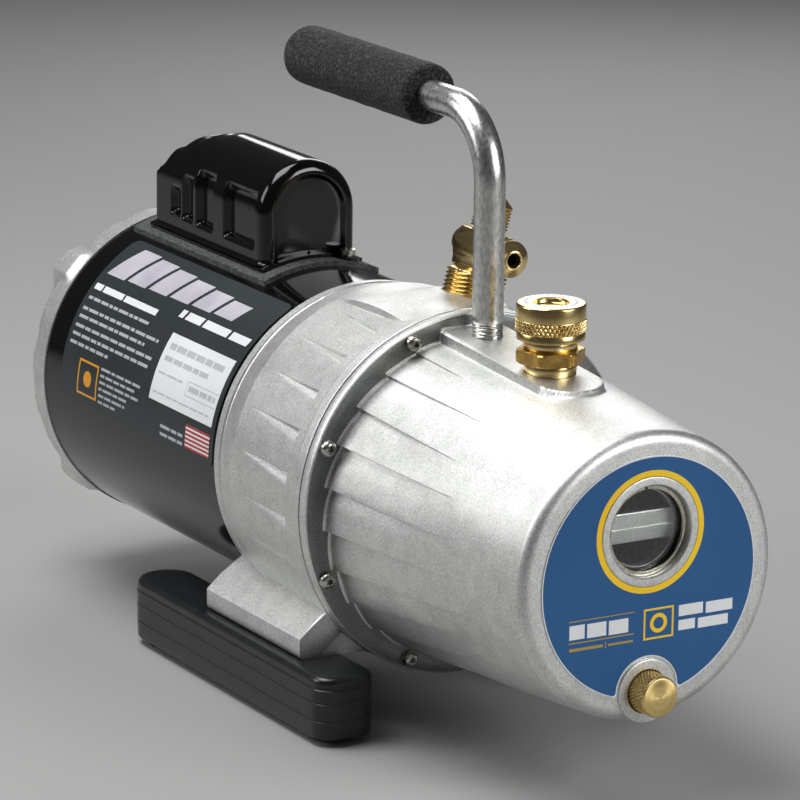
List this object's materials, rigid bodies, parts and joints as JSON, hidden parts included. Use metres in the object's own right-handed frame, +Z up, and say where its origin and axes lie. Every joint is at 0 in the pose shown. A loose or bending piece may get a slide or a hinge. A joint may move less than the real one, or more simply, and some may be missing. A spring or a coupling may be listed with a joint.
{
  "type": "vacuum pump",
  "caption": "Two-stage rotary-vane vacuum pump with an inline capacitor motor, cast oil case with sight glass, carry handle, brass intake tee, exhaust cap and rail base.",
  "frame": {"origin": "on the floor under the middle of the pump's bounding box", "axes": "+X along the shaft from the motor to the sight glass, +Z up, +Y to the far side from the motor's label"},
  "size_m": [0.438, 0.162, 0.2696],
  "materials": {
    "cast_aluminium": "fine-grained sand-coloured cast skin, bead blasted",
    "gasket_paper": "pressed fibre gasket",
    "screw_steel": "plated steel, satin",
    "window_glass": "clear flat glass",
    "nitrile": "moulded nitrile rubber",
    "label_blue": "printed vinyl, satin",
    "label_yellow": "printed vinyl, satin",
    "brass": "turned brass, satin",
    "zinc_rod": "zinc plated steel rod",
    "foam": "closed-cell foam",
    "black_enamel": "gloss black enamel on steel",
    "label_grey": "printed vinyl, satin",
    "motor_winding": "varnished copper wire",
    "core_steel": "stacked electrical steel",
    "capacitor_can": "black phenolic case",
    "black_plastic": "moulded glass-filled nylon",
    "foot_rubber": "moulded rubber",
    "cover_gasket_grey": "textured sponge rubber",
    "machined_steel": "ground steel",
    "cartridge_iron": "ground cast iron",
    "vane_composite": "resin-bonded fibre",
    "spider_urethane": "cast urethane",
    "bonnet_copper": "soft copper"
  },
  "bodies": {
    "pump_body": {"centre_housing": "cast_aluminium", "oil_case": "cast_aluminium", "case_gasket": "gasket_paper", "flange_screws": "screw_steel", "sight_glass": "window_glass", "sight_seal": "nitrile", "sight_retainer": "screw_steel", "front_label": "label_blue", "sight_label": "label_yellow", "exhaust_body": "brass", "handle_rod": "zinc_rod", "handle_grip": "foam", "intake_tee": "brass", "motor_shell": "black_enamel", "motor_label": "label_grey", "rear_bell": "cast_aluminium", "through_bolts": "screw_steel", "capacitor_cover": "black_enamel", "cover_gasket": "cover_gasket_grey", "cover_screws": "screw_steel", "start_capacitor": "capacitor_can", "stator_core": "core_steel", "stator_winding": "motor_winding", "rail_left": "black_plastic", "rail_right": "black_plastic", "rail_feet": "foot_rubber", "rail_bolts": "screw_steel", "rear_bearing": "machined_steel", "front_bearing": "machined_steel", "shaft_seal": "nitrile", "cartridge_rear_plate": "cartridge_iron", "stage_one_ring": "cartridge_iron", "middle_plate": "cartridge_iron", "stage_two_ring": "cartridge_iron", "cartridge_end_plate": "cartridge_iron", "cartridge_bolts": "screw_steel", "exhaust_valve": "machined_steel", "switch_housing": "black_plastic", "cord_gland": "black_plastic"},
    "rotating_group": {"motor_shaft": "machined_steel", "rotor_core": "core_steel", "cooling_fan": "black_plastic", "motor_hub": "machined_steel", "coupling_spider": "spider_urethane", "pump_hub": "machined_steel", "pump_shaft": "machined_steel", "rotor_one": "machined_steel", "rotor_two": "machined_steel"},
    "vane_1l": {"vane_one_left": "vane_composite"},
    "vane_1r": {"vane_one_right": "vane_composite"},
    "vane_2l": {"vane_two_left": "vane_composite"},
    "vane_2r": {"vane_two_right": "vane_composite"},
    "drain_ring": {"drain_seal": "nitrile"},
    "drain_valve": {"drain_knob": "brass"},
    "cap_ring": {"exhaust_cap_seal": "nitrile"},
    "exhaust_lid": {"exhaust_cap": "brass"},
    "bonnet": {"intake_cap_seal": "bonnet_copper"},
    "intake_lid": {"intake_cap": "brass"},
    "rocker": {"switch_rocker": "black_plastic"}
  },
  "joints": [
    {"name": "shaft_spin", "type": "hinge", "parent": "pump_body", "child": "rotating_group", "pos_m": [0.065, 0, 0.094], "axis": [1, 0, 0], "continuous": true},
    {"name": "vane_1l_slide", "type": "slide", "parent": "rotating_group", "child": "vane_1l", "axis": [0, -1, 0], "range_m": [0, 0.0028]},
    {"name": "vane_1r_slide", "type": "slide", "parent": "rotating_group", "child": "vane_1r", "axis": [0, 1, 0], "range_m": [0, 0.0028]},
    {"name": "vane_2l_slide", "type": "slide", "parent": "rotating_group", "child": "vane_2l", "axis": [0, -1, 0], "range_m": [0, 0.0028]},
    {"name": "vane_2r_slide", "type": "slide", "parent": "rotating_group", "child": "vane_2r", "axis": [0, 1, 0], "range_m": [0, 0.0028]},
    {"name": "drain_travel", "type": "slide", "parent": "pump_body", "child": "drain_ring", "axis": [1, 0, 0], "range_m": [0, 0.0045]},
    {"name": "drain_turn", "type": "hinge", "parent": "drain_ring", "child": "drain_valve", "pos_m": [0.215, 0, 0.0475], "axis": [1, 0, 0], "range_deg": [0, 1080.5]},
    {"name": "exhaust_cap_travel", "type": "slide", "parent": "pump_body", "child": "cap_ring", "axis": [0, 0, 1], "range_m": [0, 0.0072]},
    {"name": "exhaust_cap_turn", "type": "hinge", "parent": "cap_ring", "child": "exhaust_lid", "pos_m": [0.1324, 0, 0.184], "axis": [0, 0, 1], "range_deg": [0, 1440.5]},
    {"name": "intake_cap_travel", "type": "slide", "parent": "pump_body", "child": "bonnet", "axis": [-0.9945, 0.1006, -0.0285], "range_m": [0, 0.00635]},
    {"name": "intake_cap_turn", "type": "hinge", "parent": "bonnet", "child": "intake_lid", "pos_m": [0.02008, 0.02833, 0.18835], "axis": [-0.9945, 0.1006, -0.0285], "range_deg": [0, 1800.5]},
    {"name": "switch_tilt", "type": "hinge", "parent": "pump_body", "child": "rocker", "pos_m": [-0.212, 0, 0.127], "axis": [0, 1, 0], "range_deg": [-16, 0]}
  ],
  "couplings": [
    {"joint": "drain_turn", "follows": "drain_travel", "rad_per_m": 4188.8},
    {"joint": "exhaust_cap_turn", "follows": "exhaust_cap_travel", "rad_per_m": 3490.7},
    {"joint": "intake_cap_turn", "follows": "intake_cap_travel", "rad_per_m": 4947.4}
  ]
}
